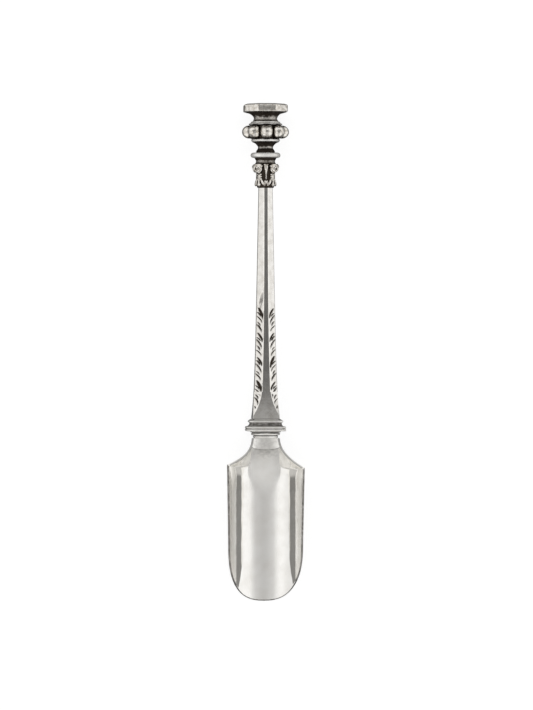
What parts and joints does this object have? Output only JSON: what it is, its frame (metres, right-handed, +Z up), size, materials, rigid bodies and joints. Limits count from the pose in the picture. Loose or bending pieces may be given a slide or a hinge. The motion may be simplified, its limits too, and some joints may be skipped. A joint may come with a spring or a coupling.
{
  "type": "cheese scoop",
  "caption": "Silver cheese scoop with a deep round-ended trough blade, square collar, carved tapering stem, leaf capital and lobed knop under an octagonal cap.",
  "frame": {"origin": "centre of the footprint on the table, with the scoop lying on its back on the belly of its blade and on its knop", "axes": "+Y along the handle towards the cap, +X across the blade, +Z up out of the hollow of the blade"},
  "size_m": [0.0328, 0.21, 0.0198],
  "materials": {
    "polished_silver": "polished silver with light wear",
    "worn_silver": "worn silver, dark in its grooves",
    "oxidised_silver": "cast silver with dark oxide in its recesses"
  },
  "bodies": {
    "root": {"scoop_blade": "polished_silver", "neck_block": "polished_silver", "collar_ring": "worn_silver", "collar_moulding": "worn_silver", "stem": "polished_silver", "leaf_capital": "oxidised_silver", "capital_spool": "oxidised_silver", "disc": "worn_silver", "knop_spool": "worn_silver", "knop_lower_ring": "worn_silver", "lobed_knop": "worn_silver", "knop_upper_ring": "worn_silver", "cap_spool": "oxidised_silver", "octagonal_cap": "worn_silver", "finial_rod": "worn_silver"}
  },
  "joints": []
}
